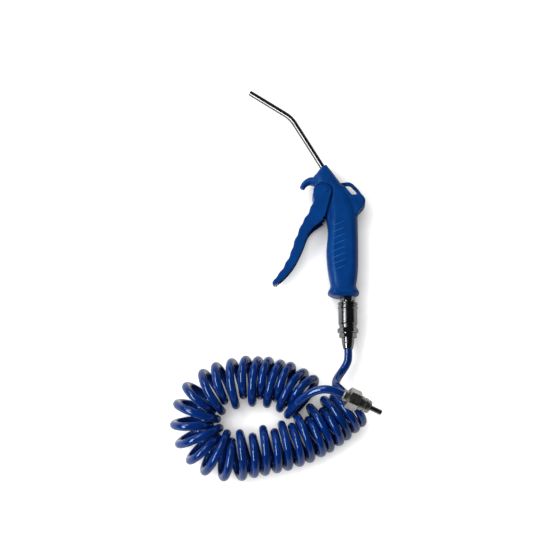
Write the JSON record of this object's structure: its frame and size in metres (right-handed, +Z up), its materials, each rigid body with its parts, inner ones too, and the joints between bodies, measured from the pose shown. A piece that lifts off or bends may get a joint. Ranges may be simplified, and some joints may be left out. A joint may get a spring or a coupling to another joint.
{
  "type": "coiled air hose",
  "caption": "Bent recoil air hose with a quick coupler, a lever blow gun and a hollow plug fitting on its free end.",
  "frame": {"origin": "on the surface that the kit lies on, under the middle of the blow gun and its coupler", "axes": "+Z up off the surface, +Y along the grip from the coupler to the nozzle, +X to the gun's hanging loop"},
  "size_m": [0.216, 0.4229, 0.0709],
  "materials": {
    "gun_blue": "satin moulded plastic",
    "hose_blue": "glossy polyurethane",
    "nickel": "nickel plated and turned",
    "steel": "plain steel",
    "brass": "turned",
    "seal_black": "matt"
  },
  "bodies": {
    "hose": {"hose_coil": "hose_blue", "hose_tail_gun": "hose_blue", "hose_tail_plug": "hose_blue", "coupler_body": "nickel", "sleeve_spring": "steel", "locking_balls": "steel", "retaining_ring": "steel", "coupler_seal": "seal_black", "coupler_valve": "brass", "coupler_valve_spring": "steel", "coupler_end": "nickel", "coupler_nut": "nickel", "tail_nut": "nickel", "tail_adapter": "nickel", "tail_washer": "seal_black", "tail_body": "nickel", "plug_nipple": "steel"},
    "sleeve": {"coupler_sleeve": "nickel"},
    "gun": {"gun_body": "gun_blue", "inlet_insert": "brass", "lever_pin": "steel", "stem_gland": "brass", "valve_spring": "steel", "valve_cap": "gun_blue", "cap_seal": "seal_black", "nozzle_bush": "brass", "nozzle_seal": "seal_black", "nozzle_tube": "nickel", "gun_plug": "nickel", "gun_plug_seal": "seal_black"},
    "lever": {"trigger_lever": "gun_blue"},
    "valve": {"valve_stem": "nickel", "stem_seal": "seal_black", "valve_poppet": "brass", "poppet_seal": "seal_black"}
  },
  "joints": [
    {"name": "sleeve_pull", "type": "slide", "parent": "hose", "child": "sleeve", "axis": [0, -1, 0], "range_m": [0, 0.0036], "stiffness_N_per_m": 900, "springref_m": -0.004, "deforming": ["sleeve_spring"]},
    {"name": "gun_swivel", "type": "hinge", "parent": "hose", "child": "gun", "pos_m": [0.0429, -0.1, 0.015], "axis": [0, 1, 0], "continuous": true},
    {"name": "lever_press", "type": "hinge", "parent": "gun", "child": "lever", "pos_m": [0.0203, 0.0273, 0.015], "axis": [0, 0, 1], "range_deg": [0, 14], "stiffness_Nm_per_rad": 3, "springref_deg": -4.58},
    {"name": "valve_lift", "type": "slide", "parent": "gun", "child": "valve", "axis": [1, 0, 0], "range_m": [0, 0.003], "deforming": ["valve_spring"]}
  ],
  "couplings": [
    {"joint": "valve_lift", "follows": "lever_press", "m_per_rad": 0.012}
  ]
}
